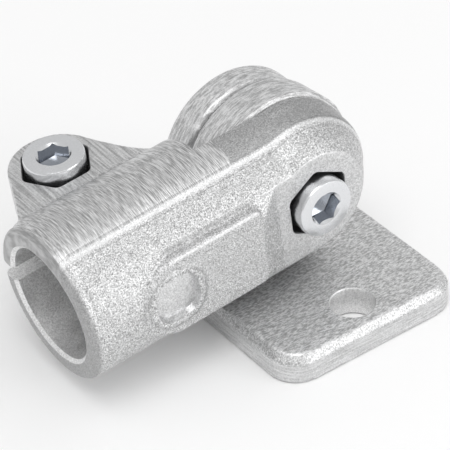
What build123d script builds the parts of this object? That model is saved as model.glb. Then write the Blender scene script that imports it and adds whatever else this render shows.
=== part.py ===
from build123d import *
import math
import os

# Swivel clamp base for a round stanchion tube. Millimetres, +Z up, origin at the centre of the
# underside of the base plate. The hinge parts on the plane Y = 0 and the arm points to -X.

# Base plate
PLATE_X = 45.0
PLATE_Y = 64.0
PLATE_T = 6.7
PLATE_CORNER_R = 6.5
PLATE_BEVEL_IN = 1.2
PLATE_BEVEL_UP = 1.9
FIX_HOLE_R = 4.7
FIX_HOLE_Y = 24.0

# Hinge
PIVOT_Z = 26.15
REST_TILT = 5.4
BOLT_HOLE_R = 4.05
COLLAR_R = 18.4
COLLAR_BACK_R = 17.8
COLLAR_T = 9.0
DISC_R = 17.3
DISC_X = -0.5
DISC_BACK_Y = 17.5
DISC_BACK_ROUND = 1.6
DISC_FOOT_HALF = 15.6
COLLAR_FOOT_HALF = 16.8
HINGE_GAP = 0.1

# Clamp arm, in its own frame: origin on the pivot, tube axis along U = X, V = Y, W = up
TUBE_R = 17.15
CROWN_R = 17.3
CROWN_EDGE_V = -7.2
KNUCKLE_SIDE_R = 17.3
KNUCKLE_EDGE_V = -6.8
KNUCKLE_FRONT_R = 17.6
ARM_COLLAR_R = 17.75
ARM_COLLAR_T = 2.6
MOUTH_U = -58.0
MOUTH_ROUND = 1.5
BORE_R = 12.5
BORE_DEPTH = 35.0
BORE_BREAK = 0.7
SLIT_HALF = 1.8
SLIT_END_U = -24.0
YOKE_END_U = -19.2
PAD_V = -13.4
PAD_LEFT_U = -10.0
PAD_SLOPE_RUN = 6.0
PAD_SLOPE_RISE = 3.0
PANEL_V = -16.3
PANEL_HALF_W = 9.4
PANEL_LEFT_U = -36.6
PANEL_RIGHT_U = -15.6
PANEL_ROUND = 0.7
DIMPLE_U = -37.7
DIMPLE_SIDE = 11.4
DIMPLE_CORNER = 4.6
DIMPLE_DEPTH = 0.9
DIMPLE_DRAFT = 25.0

# Clamp ear
EAR_U = -38.6
EAR_V = 23.0
EAR_HALF_W = 11.7
EAR_NOSE_R = 10.05
EAR_ROOT_LEFT_U = -54.0
EAR_ROOT_RIGHT_U = -22.5
EAR_ROOT_V = 12.5

# Fasteners: M8 socket head cap screws and hexagon nuts
POCKET_AF = 13.4
POCKET_DEPTH = 5.5
HEAD_R = 6.5
HEAD_H = 8.0
HEAD_BREAK = 0.55
THREAD_R = 3.95
THREAD_TIP = 0.8
KEY_AF = 6.0
KEY_DEPTH = 4.2
KEY_CONE = 0.9
NUT_AF = 13.0
NUT_H = 6.5
NUT_BORE_R = 4.0
NUT_BREAK = 0.8
PIVOT_SCREW_LENGTH = 30.0
CLAMP_SCREW_LENGTH = 20.0
SEAT_GAP = 0.05

# Derived
ARM_SEAT_V = PAD_V + POCKET_DEPTH
NUT_SEAT_Y = DISC_BACK_Y - POCKET_DEPTH
EAR_SEAT_W = EAR_HALF_W - POCKET_DEPTH
FAR = 200.0
FACE_FRONT = Rot(90, 0, 0)
CORNER_UP = 30.0


def arm_place():
    """Location of the arm frame in the row frame at rest."""
    return Location((0, 0, PIVOT_Z), (0, -REST_TILT, 0))


def along_y(y, turn=0.0):
    """Plane whose normal is +Y at height y on the pivot, turned about that axis."""
    return Location((0, y, 0)) * Location((0, 0, 0), (-90, 0, 0)) * Location((0, 0, 0), (0, 0, turn))


def y_cylinder(radius, y0, y1):
    """Cylinder about the pivot axis between two Y stations."""
    return along_y((y0 + y1) / 2) * Cylinder(radius, abs(y1 - y0))


def hex_prism(across_flats, height, turn=0.0):
    """Hexagonal prism standing on its local origin, a corner along X when turn is 0."""
    outline = RegularPolygon(across_flats / 2, 6, major_radius=False, rotation=turn)
    return extrude(outline, height)


def plate():
    """Base plate with bevelled top edge, broken lower edge and two fixing holes."""
    outline = RectangleRounded(PLATE_X, PLATE_Y, PLATE_CORNER_R)
    body = extrude(outline, PLATE_T)
    top_rim = body.faces().sort_by(Axis.Z)[-1].edges()
    body = chamfer(top_rim, PLATE_BEVEL_UP, PLATE_BEVEL_IN, reference=body.faces().sort_by(Axis.Z)[-1])
    return body


def lug_leg(top_half, foot_half, y0, y1):
    """Tapered leg from the pivot height down into the plate."""
    points = [(-top_half, PIVOT_Z), (top_half, PIVOT_Z), (foot_half, 0), (-foot_half, 0)]
    face = make_face(Polyline(points, close=True))
    return Pos(0, y1, 0) * FACE_FRONT * extrude(face, y1 - y0)


def lug():
    """Upright half of the hinge that belongs to the base."""
    collar = along_y(COLLAR_T / 2) * Cone(COLLAR_R, COLLAR_BACK_R, COLLAR_T)
    disc = Pos(DISC_X, 0, 0) * y_cylinder(DISC_R, 1, DISC_BACK_Y)
    disc = fillet(disc.faces().sort_by(Axis.Y)[-1].edges(), DISC_BACK_ROUND)
    body = Pos(0, 0, PIVOT_Z) * (collar + disc)
    body += lug_leg(COLLAR_BACK_R, COLLAR_FOOT_HALF, 0, COLLAR_T)
    return body + lug_leg(DISC_R + DISC_X, DISC_FOOT_HALF, COLLAR_T, DISC_BACK_Y)


def base():
    """Base casting: plate and pivot lug in one piece."""
    body = plate() + lug()
    body -= Pos(0, 0, PIVOT_Z) * y_cylinder(BOLT_HOLE_R, -1, DISC_BACK_Y + 1)
    pocket = hex_prism(POCKET_AF, POCKET_DEPTH + 1, CORNER_UP)
    body -= Pos(0, 0, PIVOT_Z) * along_y(NUT_SEAT_Y) * pocket
    for side in (-1, 1):
        body -= Pos(0, side * FIX_HOLE_Y, PLATE_T / 2) * Cylinder(FIX_HOLE_R, PLATE_T + 2)
    return body


def tube_bar(radius):
    """Round bar from the pivot to the mouth, rounded at the mouth."""
    bar = Pos(MOUTH_U / 2, 0, 0) * Rot(0, 90, 0) * Cylinder(radius, -MOUTH_U)
    mouth = bar.faces().sort_by(Axis.X)[0].edges()
    return fillet(mouth, MOUTH_ROUND)


def knuckle():
    """Round end of the arm about the pivot: straight side, then a domed front."""
    side = y_cylinder(KNUCKLE_SIDE_R, KNUCKLE_EDGE_V, 0)
    front = Sphere(KNUCKLE_FRONT_R) & (Pos(0, KNUCKLE_EDGE_V - FAR / 2, 0) * Box(FAR, FAR, FAR))
    return side + front


def arm_blank():
    """Tube, crown and knuckle of the arm before any cut."""
    behind = Pos(0, FAR / 2 + CROWN_EDGE_V, 0) * Box(FAR, FAR, FAR)
    upper = Pos(0, 0, FAR / 2) * Box(FAR, FAR, FAR)
    crown = tube_bar(CROWN_R) & behind & upper
    collar = y_cylinder(ARM_COLLAR_R, -ARM_COLLAR_T, 0)
    return tube_bar(TUBE_R) + crown + knuckle() + collar


def panel_outline():
    """Outline of the raised panel, one end round."""
    length = PANEL_RIGHT_U - PANEL_LEFT_U
    outline = Pos(PANEL_LEFT_U, 0) * Circle(PANEL_HALF_W)
    return outline + Pos(PANEL_LEFT_U + length / 2, 0) * Rectangle(length, 2 * PANEL_HALF_W)


def panel():
    """Flat raised panel on the front of the tube."""
    block = extrude(panel_outline(), -PANEL_V)
    block = fillet(block.faces().sort_by(Axis.Z)[-1].edges(), PANEL_ROUND)
    return FACE_FRONT * block


def panel_cut():
    """Space in front of the panel, so the tube is flat there."""
    return FACE_FRONT * Pos(0, 0, -PANEL_V) * extrude(panel_outline(), FAR)


def dimple():
    """Shallow blind recess cored in the panel."""
    outline = Pos(DIMPLE_U, 0) * RectangleRounded(DIMPLE_SIDE, DIMPLE_SIDE, DIMPLE_CORNER)
    cut = extrude(outline, -DIMPLE_DEPTH, taper=DIMPLE_DRAFT)
    return FACE_FRONT * Pos(0, 0, -PANEL_V) * cut


def pad_cut():
    """Space in front of the flat seat round the pivot screw, with its run-out towards the tube."""
    deep = FAR / 2
    run_out = PAD_LEFT_U - PAD_SLOPE_RUN * (deep + PAD_V) / PAD_SLOPE_RISE
    points = [(PAD_LEFT_U, PAD_V), (deep, PAD_V), (deep, -deep), (run_out, -deep)]
    return Pos(0, 0, -deep) * extrude(make_face(Polyline(points, close=True)), 2 * deep)


def ear_blank():
    """Clamp ear beside the tube, before it is slit."""
    nose = Pos(EAR_U, EAR_V) * Circle(EAR_NOSE_R)
    left = (EAR_ROOT_LEFT_U, EAR_ROOT_V)
    right = (EAR_ROOT_RIGHT_U, EAR_ROOT_V)
    inner = [(EAR_ROOT_LEFT_U, 0), (EAR_ROOT_RIGHT_U, 0)]
    hull = make_hull(nose.edges() + Polyline(left, *inner, right).edges())
    return Pos(0, 0, -EAR_HALF_W) * extrude(hull, 2 * EAR_HALF_W)


def ear_pocket(side):
    """Hexagonal pocket on one side of the ear: +1 above for the screw, -1 below for the nut."""
    prism = hex_prism(POCKET_AF, POCKET_DEPTH + 1)
    start = EAR_SEAT_W if side > 0 else -EAR_HALF_W - 1
    return Pos(EAR_U, EAR_V, start) * prism


def bore():
    """Blind tube socket with a broken edge at its mouth."""
    straight = Pos(MOUTH_U + BORE_DEPTH / 2, 0, 0) * Rot(0, 90, 0) * Cylinder(BORE_R, BORE_DEPTH)
    flare = Rot(0, 90, 0) * Cone(BORE_R + 2 * BORE_BREAK, BORE_R, 2 * BORE_BREAK)
    return straight + Pos(MOUTH_U, 0, 0) * flare


def arm():
    """Clamp arm casting in its own frame."""
    body = arm_blank() + ear_blank()
    body -= panel_cut()
    body += panel() & (Pos(MOUTH_U / 2, 0, 0) * Box(-MOUTH_U, FAR, FAR))
    body -= pad_cut()
    body -= dimple()
    yoke = Box(FAR, FAR, FAR, align=(Align.MIN, Align.MIN, Align.CENTER))
    body -= Pos(YOKE_END_U, -HINGE_GAP, 0) * yoke
    body -= bore()
    slit_length = SLIT_END_U - MOUTH_U
    slit = Box(slit_length, FAR, 2 * SLIT_HALF, align=(Align.MIN, Align.MIN, Align.CENTER))
    body -= Pos(MOUTH_U, 0, 0) * slit
    body -= y_cylinder(BOLT_HOLE_R, -FAR / 2, FAR / 2)
    body -= along_y(PAD_V - 1) * hex_prism(POCKET_AF, POCKET_DEPTH + 1, CORNER_UP)
    body -= Pos(EAR_U, EAR_V, 0) * Cylinder(BOLT_HOLE_R, FAR)
    body -= ear_pocket(1)
    body -= ear_pocket(-1)
    return body


def screw(length):
    """Socket head cap screw standing head up, the seat of its head at its local origin."""
    head = Pos(0, 0, HEAD_H / 2) * Cylinder(HEAD_R, HEAD_H)
    head = chamfer(head.faces().sort_by(Axis.Z)[-1].edges(), HEAD_BREAK)
    shank = Pos(0, 0, -length / 2) * Cylinder(THREAD_R, length)
    shank = chamfer(shank.faces().sort_by(Axis.Z)[0].edges(), THREAD_TIP)
    key = Pos(0, 0, HEAD_H - KEY_DEPTH) * hex_prism(KEY_AF, KEY_DEPTH + 1)
    cone = Pos(0, 0, HEAD_H - KEY_DEPTH - KEY_CONE / 2) * Cone(0, KEY_AF / 2, KEY_CONE)
    return head + shank - key - cone


def nut():
    """Hexagon nut lying on its local origin, bored to the thread's outer diameter."""
    round_blank = chamfer(Cylinder(NUT_AF / math.sqrt(3), NUT_H).edges(), NUT_BREAK / 2, NUT_BREAK)
    body = hex_prism(NUT_AF, NUT_H) & (Pos(0, 0, NUT_H / 2) * round_blank)
    return body - Pos(0, 0, NUT_H / 2) * Cylinder(NUT_BORE_R, NUT_H + 2)


def nodes():
    """Every node of the part, placed in the row frame at rest."""
    pivot = Pos(0, 0, PIVOT_Z)
    swing = arm_place()
    ear_axis = swing * Pos(EAR_U, EAR_V, 0)
    return {
        "base": base(),
        "arm": swing * arm(),
        "pivot_screw": pivot * along_y(ARM_SEAT_V - SEAT_GAP) * Rot(180, 0, 0) * screw(PIVOT_SCREW_LENGTH),
        "pivot_nut": pivot * along_y(NUT_SEAT_Y + SEAT_GAP, CORNER_UP) * nut(),
        "clamp_screw": ear_axis * Pos(0, 0, EAR_SEAT_W + SEAT_GAP) * screw(CLAMP_SCREW_LENGTH),
        "clamp_nut": ear_axis * Pos(0, 0, -EAR_SEAT_W - SEAT_GAP - NUT_H) * nut(),
    }


if __name__ == "__main__":
    os.makedirs("parts", exist_ok=True)
    for name, solid in nodes().items():
        export_step(solid, f"parts/{name}.step")
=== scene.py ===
"""Looks of a swivel tube-clamp base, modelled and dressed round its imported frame."""

import logging
import math
from dataclasses import dataclass
from enum import Enum

import bmesh
import bpy
from mathutils import Matrix, Vector


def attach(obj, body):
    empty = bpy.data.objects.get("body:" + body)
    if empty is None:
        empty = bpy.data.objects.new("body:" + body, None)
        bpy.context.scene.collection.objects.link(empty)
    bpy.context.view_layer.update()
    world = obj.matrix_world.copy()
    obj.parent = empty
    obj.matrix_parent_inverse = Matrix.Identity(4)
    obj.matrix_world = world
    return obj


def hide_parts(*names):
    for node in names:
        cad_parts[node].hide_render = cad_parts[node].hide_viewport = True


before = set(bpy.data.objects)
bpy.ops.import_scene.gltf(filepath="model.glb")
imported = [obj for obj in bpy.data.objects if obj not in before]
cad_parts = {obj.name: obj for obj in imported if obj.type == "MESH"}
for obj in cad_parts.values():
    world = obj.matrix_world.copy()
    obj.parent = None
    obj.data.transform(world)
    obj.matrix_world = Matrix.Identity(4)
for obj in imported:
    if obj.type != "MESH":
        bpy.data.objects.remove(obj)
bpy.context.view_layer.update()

LOG = logging.getLogger("clamp_base")

MM = 0.001
PIVOT_HEIGHT = 26.15
ARM_TILT = math.radians(5.4)
ARM_AT_REST = Matrix.Translation((0, 0, PIVOT_HEIGHT)) @ Matrix.Rotation(-ARM_TILT, 4, "Y")
TO_METRES = Matrix.Scale(MM, 4)
ALONG_U = Matrix.Rotation(math.radians(90), 4, "Y")
ALONG_V = Matrix.Rotation(math.radians(-90), 4, "X")
CORNER_ON_X = Matrix.Rotation(math.radians(30), 4, "Z")
FAR = 90.0

Point = tuple[float, float]


class Cut(Enum):
    """How one solid acts on another."""

    ADD = "UNION"
    REMOVE = "DIFFERENCE"
    COMMON = "INTERSECT"


# ---------------------------------------------------------------- shaping


class Bench:
    """Turns bmesh shapes into solids and works on them with modifiers, in millimetres."""

    @staticmethod
    def solid(name: str, shape: bmesh.types.BMesh, place: Matrix | None = None) -> bpy.types.Object:
        """Closes a shape into a linked object with outward faces.

        Args:
            name: Name of the new object.
            shape: The bmesh, which is used up.
            place: Transform applied to the mesh.

        Returns:
            The new object, itself at the origin.
        """
        if place is not None:
            bmesh.ops.transform(shape, matrix=place, verts=shape.verts)
        bmesh.ops.remove_doubles(shape, verts=shape.verts, dist=1e-4)
        bmesh.ops.recalc_face_normals(shape, faces=shape.faces)
        mesh = bpy.data.meshes.new(name)
        shape.to_mesh(mesh)
        shape.free()
        made = bpy.data.objects.new(name, mesh)
        bpy.context.scene.collection.objects.link(made)
        return made

    @staticmethod
    def turned(name: str, profile: list[Point], place: Matrix | None = None, steps: int = 128) -> bpy.types.Object:
        """Turns a profile of (height, radius) points about +Z.

        Args:
            name: Name of the new object.
            profile: Points from one end to the other.
            place: Transform applied to the mesh.
            steps: Number of segments round the axis.

        Returns:
            The turned solid.
        """
        shape = bmesh.new()
        ring = [shape.verts.new((radius, 0, height)) for height, radius in profile]
        edges = [shape.edges.new(pair) for pair in zip(ring, ring[1:])]
        bmesh.ops.spin(shape, geom=ring + edges, axis=(0, 0, 1), cent=(0, 0, 0),
                       angle=math.tau, steps=steps, use_merge=True)
        return Bench.solid(name, shape, place)

    @staticmethod
    def prism(name: str, outline: list[Point], low: float, high: float,
              place: Matrix | None = None) -> bpy.types.Object:
        """Raises an outline in XY from one height to another.

        Args:
            name: Name of the new object.
            outline: Corner points of the outline in order.
            low: Height of the lower face.
            high: Height of the upper face.
            place: Transform applied to the mesh.

        Returns:
            The prism.
        """
        shape = bmesh.new()
        face = shape.faces.new([shape.verts.new((x, y, low)) for x, y in outline])
        raised = bmesh.ops.extrude_face_region(shape, geom=[face])
        tops = [item for item in raised["geom"] if isinstance(item, bmesh.types.BMVert)]
        bmesh.ops.translate(shape, vec=(0, 0, high - low), verts=tops)
        return Bench.solid(name, shape, place)

    @staticmethod
    def block(name: str, low: tuple[float, float, float], high: tuple[float, float, float]) -> bpy.types.Object:
        """Makes a cutting block between two corners.

        Args:
            name: Name of the new object.
            low: Lowest corner.
            high: Highest corner.

        Returns:
            The block.
        """
        size = Vector(high) - Vector(low)
        centre = (Vector(high) + Vector(low)) / 2
        shape = bmesh.new()
        bmesh.ops.create_cube(shape, size=1, matrix=Matrix.Translation(centre) @ Matrix.Diagonal((*size, 1)))
        return Bench.solid(name, shape)

    @staticmethod
    def bake(target: bpy.types.Object) -> None:
        """Applies every modifier of an object to its mesh."""
        graph = bpy.context.evaluated_depsgraph_get()
        mesh = bpy.data.meshes.new_from_object(target.evaluated_get(graph))
        target.modifiers.clear()
        spent = target.data
        target.data = mesh
        bpy.data.meshes.remove(spent)

    @staticmethod
    def work(target: bpy.types.Object, tool: bpy.types.Object, cut: Cut) -> bpy.types.Object:
        """Adds, removes or keeps the common part of a tool, which is used up.

        Args:
            target: The solid worked on.
            tool: The other solid.
            cut: The operation.

        Returns:
            The worked solid.
        """
        step = target.modifiers.new("step", "BOOLEAN")
        step.operation = cut.value
        step.solver = "EXACT"
        step.material_mode = "TRANSFER"
        step.object = tool
        Bench.bake(target)
        bpy.data.objects.remove(tool)
        return target

    @staticmethod
    def merge(name: str, parts: list[bpy.types.Object]) -> bpy.types.Object:
        """Puts several closed shells into one mesh, without cutting them.

        Args:
            name: Name of the joined object.
            parts: The shells, which are used up.

        Returns:
            The joined object.
        """
        shape = bmesh.new()
        for part in parts:
            shape.from_mesh(part.data)
            bpy.data.objects.remove(part)
        mesh = bpy.data.meshes.new(name)
        shape.to_mesh(mesh)
        shape.free()
        made = bpy.data.objects.new(name, mesh)
        bpy.context.scene.collection.objects.link(made)
        return made

    @staticmethod
    def soften(target: bpy.types.Object, grid: float, rounds: int) -> None:
        """Fuses overlapping shells on a fine grid and rounds every edge as a casting's are.

        Args:
            target: The solid worked on.
            grid: Grid size in millimetres.
            rounds: How many smoothing rounds follow.
        """
        fuse = target.modifiers.new("fuse", "REMESH")
        fuse.mode = "VOXEL"
        fuse.voxel_size = grid
        ease = target.modifiers.new("ease", "SMOOTH")
        ease.factor = 0.5
        ease.iterations = rounds
        Bench.bake(target)

    @staticmethod
    def roughen(target: bpy.types.Object, name: str, grain: float, depth: float) -> None:
        """Gives a cast surface its slight unevenness.

        Args:
            target: The solid worked on.
            name: Name of the pattern.
            grain: Size of the hollows in millimetres.
            depth: Depth of the hollows in millimetres.
        """
        pattern = bpy.data.textures.new(name, "CLOUDS")
        pattern.noise_scale = grain
        pattern.noise_depth = 2
        uneven = target.modifiers.new("uneven", "DISPLACE")
        uneven.texture = pattern
        uneven.texture_coords = "LOCAL"
        uneven.strength = depth
        uneven.mid_level = 1.0
        Bench.bake(target)

    @staticmethod
    def finish(target: bpy.types.Object, name: str, place: Matrix, crease: float = 32.0) -> bpy.types.Object:
        """Places a worked solid in the frame, in metres, and shades it smooth between creases.

        Args:
            target: The worked solid.
            name: Name of the finished piece.
            place: Transform from the solid's own frame to the row frame, in millimetres.
            crease: Angle in degrees past which an edge stays crisp.

        Returns:
            The finished piece.
        """
        shape = bmesh.new()
        shape.from_mesh(target.data)
        bmesh.ops.transform(shape, matrix=TO_METRES @ place, verts=shape.verts)
        bmesh.ops.dissolve_degenerate(shape, dist=1e-7, edges=shape.edges)
        for face in shape.faces:
            face.smooth = True
        limit = math.radians(crease)
        for edge in shape.edges:
            edge.smooth = len(edge.link_faces) == 2 and edge.calc_face_angle(0) < limit
        shape.to_mesh(target.data)
        shape.free()
        target.name = name
        target.data.name = name
        return target


def arc(centre: Point, radius: float, start: float, end: float, steps: int) -> list[Point]:
    """Points along an arc.

    Args:
        centre: Centre of the arc.
        radius: Radius of the arc.
        start: First angle in degrees.
        end: Last angle in degrees.
        steps: Number of divisions.

    Returns:
        The points from start to end, both included.
    """
    turns = [math.radians(start + (end - start) * i / steps) for i in range(steps + 1)]
    return [(centre[0] + radius * math.cos(t), centre[1] + radius * math.sin(t)) for t in turns]


def bow(start: Point, pull: Point, end: Point, steps: int = 8) -> list[Point]:
    """Points along a curve from start to end that leans towards a pull point.

    Args:
        start: First point.
        pull: Point the curve leans towards.
        end: Last point.
        steps: Number of divisions.

    Returns:
        The points, both ends included.
    """
    points = []
    for i in range(steps + 1):
        t = i / steps
        weights = ((1 - t) ** 2, 2 * t * (1 - t), t ** 2)
        points.append(tuple(sum(w * p[k] for w, p in zip(weights, (start, pull, end))) for k in (0, 1)))
    return points


# ---------------------------------------------------------------- finishes


class Nodes:
    """Short hand for wiring one node tree."""

    def __init__(self, tree: bpy.types.NodeTree) -> None:
        """Keeps the tree that nodes are added to."""
        self.tree = tree

    def add(self, kind: str, **settings: object) -> bpy.types.Node:
        """Adds a node and sets its properties.

        Args:
            kind: Node type name.
            settings: Properties by name.

        Returns:
            The new node.
        """
        node = self.tree.nodes.new(kind)
        for key, value in settings.items():
            setattr(node, key, value)
        return node

    def wire(self, source: bpy.types.NodeSocket, target: bpy.types.NodeSocket) -> None:
        """Joins an output to an input."""
        self.tree.links.new(source, target)

    def feed(self, socket: bpy.types.NodeSocket, value: object) -> None:
        """Sets an input to a constant, or joins an output to it."""
        if isinstance(value, bpy.types.NodeSocket):
            self.wire(value, socket)
        else:
            socket.default_value = value

    def maths(self, operation: str, first: object, second: object = 0.0, third: object = 0.0,
              clamp: bool = False) -> bpy.types.NodeSocket:
        """Adds a maths node.

        Args:
            operation: Its operation.
            first: First input, a number or an output.
            second: Second input.
            third: Third input.
            clamp: Whether the result is held between 0 and 1.

        Returns:
            The result.
        """
        node = self.add("ShaderNodeMath", operation=operation, use_clamp=clamp)
        for socket, value in zip(node.inputs, (first, second, third)):
            self.feed(socket, value)
        return node.outputs[0]

    def noise(self, vector: bpy.types.NodeSocket, scale: object, detail: float = 3.0,
              roughness: float = 0.55, distortion: float = 0.0) -> bpy.types.NodeSocket:
        """Adds a noise texture.

        Args:
            vector: Where the pattern is read.
            scale: Waves per metre.
            detail: Number of octaves.
            roughness: Strength of each octave.
            distortion: How far the pattern is pulled about.

        Returns:
            The noise value.
        """
        node = self.add("ShaderNodeTexNoise")
        self.wire(vector, node.inputs["Vector"])
        self.feed(node.inputs["Scale"], scale)
        node.inputs["Detail"].default_value = detail
        node.inputs["Roughness"].default_value = roughness
        node.inputs["Distortion"].default_value = distortion
        return node.outputs["Fac"]

    def ramp(self, value: bpy.types.NodeSocket, low: object, high: object, to_low: object = 0.0,
             to_high: object = 1.0, smooth: bool = False) -> bpy.types.NodeSocket:
        """Maps a range of values onto another, held at its ends.

        Args:
            value: The input value.
            low: Value that gives to_low.
            high: Value that gives to_high.
            to_low: Result at low.
            to_high: Result at high.
            smooth: Whether the passage is eased.

        Returns:
            The mapped value.
        """
        node = self.add("ShaderNodeMapRange", clamp=True)
        node.interpolation_type = "SMOOTHSTEP" if smooth else "LINEAR"
        for name, item in (("Value", value), ("From Min", low), ("From Max", high),
                           ("To Min", to_low), ("To Max", to_high)):
            self.feed(node.inputs[name], item)
        return node.outputs["Result"]

    def blend(self, mask: object, first: object, second: object) -> bpy.types.NodeSocket:
        """Mixes two values by a mask.

        Args:
            mask: 0 for the first, 1 for the second.
            first: First value.
            second: Second value.

        Returns:
            The mixed value.
        """
        node = self.add("ShaderNodeMix", data_type="FLOAT")
        for socket, value in zip((node.inputs[0], node.inputs[2], node.inputs[3]), (mask, first, second)):
            self.feed(socket, value)
        return node.outputs[0]

    def tint(self, mask: object, first: object, second: object) -> bpy.types.NodeSocket:
        """Mixes two colours by a mask.

        Args:
            mask: 0 for the first, 1 for the second.
            first: First colour.
            second: Second colour.

        Returns:
            The mixed colour.
        """
        node = self.add("ShaderNodeMix", data_type="RGBA")
        for socket, value in zip((node.inputs[0], node.inputs[6], node.inputs[7]), (mask, first, second)):
            self.feed(socket, value)
        return node.outputs[2]


class Effect:
    """A node group shared by several finishes."""

    def __init__(self, name: str, inputs: dict[str, float | None], outputs: list[str]) -> None:
        """Opens the group with its sockets.

        Args:
            name: Name of the group.
            inputs: Default of each input, None for a vector.
            outputs: Names of the value outputs.
        """
        self.tree = bpy.data.node_groups.new(name, "ShaderNodeTree")
        for label, default in inputs.items():
            kind = "NodeSocketVector" if default is None else "NodeSocketFloat"
            socket = self.tree.interface.new_socket(name=label, in_out="INPUT", socket_type=kind)
            if default is not None:
                socket.default_value = default
        for label in outputs:
            self.tree.interface.new_socket(name=label, in_out="OUTPUT", socket_type="NodeSocketFloat")
        self.nodes = Nodes(self.tree)
        self.entry = self.nodes.add("NodeGroupInput").outputs
        self.exit = self.nodes.add("NodeGroupOutput").inputs

    def place(self, nodes: Nodes, **values: object) -> bpy.types.NodeOutputs:
        """Puts the group into a material.

        Args:
            nodes: The material's nodes.
            values: Each input by name, with underscores for spaces.

        Returns:
            The group's outputs.
        """
        node = nodes.add("ShaderNodeGroup", node_tree=self.tree)
        for label, value in values.items():
            nodes.feed(node.inputs[label.replace("_", " ")], value)
        return node.outputs


def blast_effect() -> Effect:
    """Shot-blasted cast skin: fine peened grain over slow mottling.

    Returns:
        The effect, with outputs Height and Shade.
    """
    effect = Effect("blasted_skin", {"Vector": None, "Grain": 2400.0, "Mottle": 260.0},
                    ["Height", "Shade", "Cloud"])
    nodes, vector = effect.nodes, effect.entry["Vector"]
    fine = nodes.noise(vector, effect.entry["Grain"], 2.0, 0.6)
    coarse = nodes.noise(vector, nodes.maths("MULTIPLY", effect.entry["Grain"], 0.42), 2.0, 0.5)
    cloud = nodes.noise(vector, effect.entry["Mottle"], 3.0, 0.6)
    height = nodes.maths("ADD", nodes.maths("MULTIPLY", fine, 0.78), nodes.maths("MULTIPLY", coarse, 0.22))
    nodes.wire(height, effect.exit["Height"])
    nodes.wire(nodes.ramp(height, 0.36, 0.64), effect.exit["Shade"])
    nodes.wire(nodes.ramp(cloud, 0.3, 0.7), effect.exit["Cloud"])
    return effect


def stroke_effect() -> Effect:
    """Fine broken strokes that run along the pattern's Y and Z.

    Returns:
        The effect, with outputs Height and Line.
    """
    effect = Effect("fine_strokes", {"Vector": None, "Across": 1800.0, "Along": 120.0}, ["Height", "Line"])
    nodes = effect.nodes
    parts = nodes.add("ShaderNodeSeparateXYZ")
    nodes.wire(effect.entry["Vector"], parts.inputs[0])
    packed = nodes.add("ShaderNodeCombineXYZ")
    nodes.wire(nodes.maths("MULTIPLY", parts.outputs[0], effect.entry["Across"]), packed.inputs[0])
    nodes.wire(nodes.maths("MULTIPLY", parts.outputs[1], effect.entry["Along"]), packed.inputs[1])
    nodes.wire(nodes.maths("MULTIPLY", parts.outputs[2], effect.entry["Along"]), packed.inputs[2])
    line = nodes.noise(packed.outputs[0], 1.0, 3.0, 0.65)
    nodes.wire(line, effect.exit["Height"])
    nodes.wire(nodes.ramp(line, 0.38, 0.62), effect.exit["Line"])
    return effect


def zone_effect() -> Effect:
    """Soft-edged slab between two values of the pattern's X.

    Returns:
        The effect, with output Mask.
    """
    effect = Effect("soft_zone", {"Value": 0.0, "Low": 0.0, "High": 1.0, "Edge": 0.0003}, ["Mask"])
    nodes = effect.nodes
    value, low, high, edge = (effect.entry[name] for name in ("Value", "Low", "High", "Edge"))
    rise = nodes.ramp(value, nodes.maths("SUBTRACT", low, edge), nodes.maths("ADD", low, edge), smooth=True)
    fall = nodes.ramp(value, nodes.maths("SUBTRACT", high, edge), nodes.maths("ADD", high, edge),
                      1.0, 0.0, smooth=True)
    nodes.wire(nodes.maths("MULTIPLY", rise, fall), effect.exit["Mask"])
    return effect


@dataclass(frozen=True)
class Effects:
    """The shared effects, built once."""

    blast: Effect
    strokes: Effect
    zone: Effect

    @staticmethod
    def build() -> "Effects":
        """Builds every shared effect."""
        return Effects(blast_effect(), stroke_effect(), zone_effect())


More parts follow.
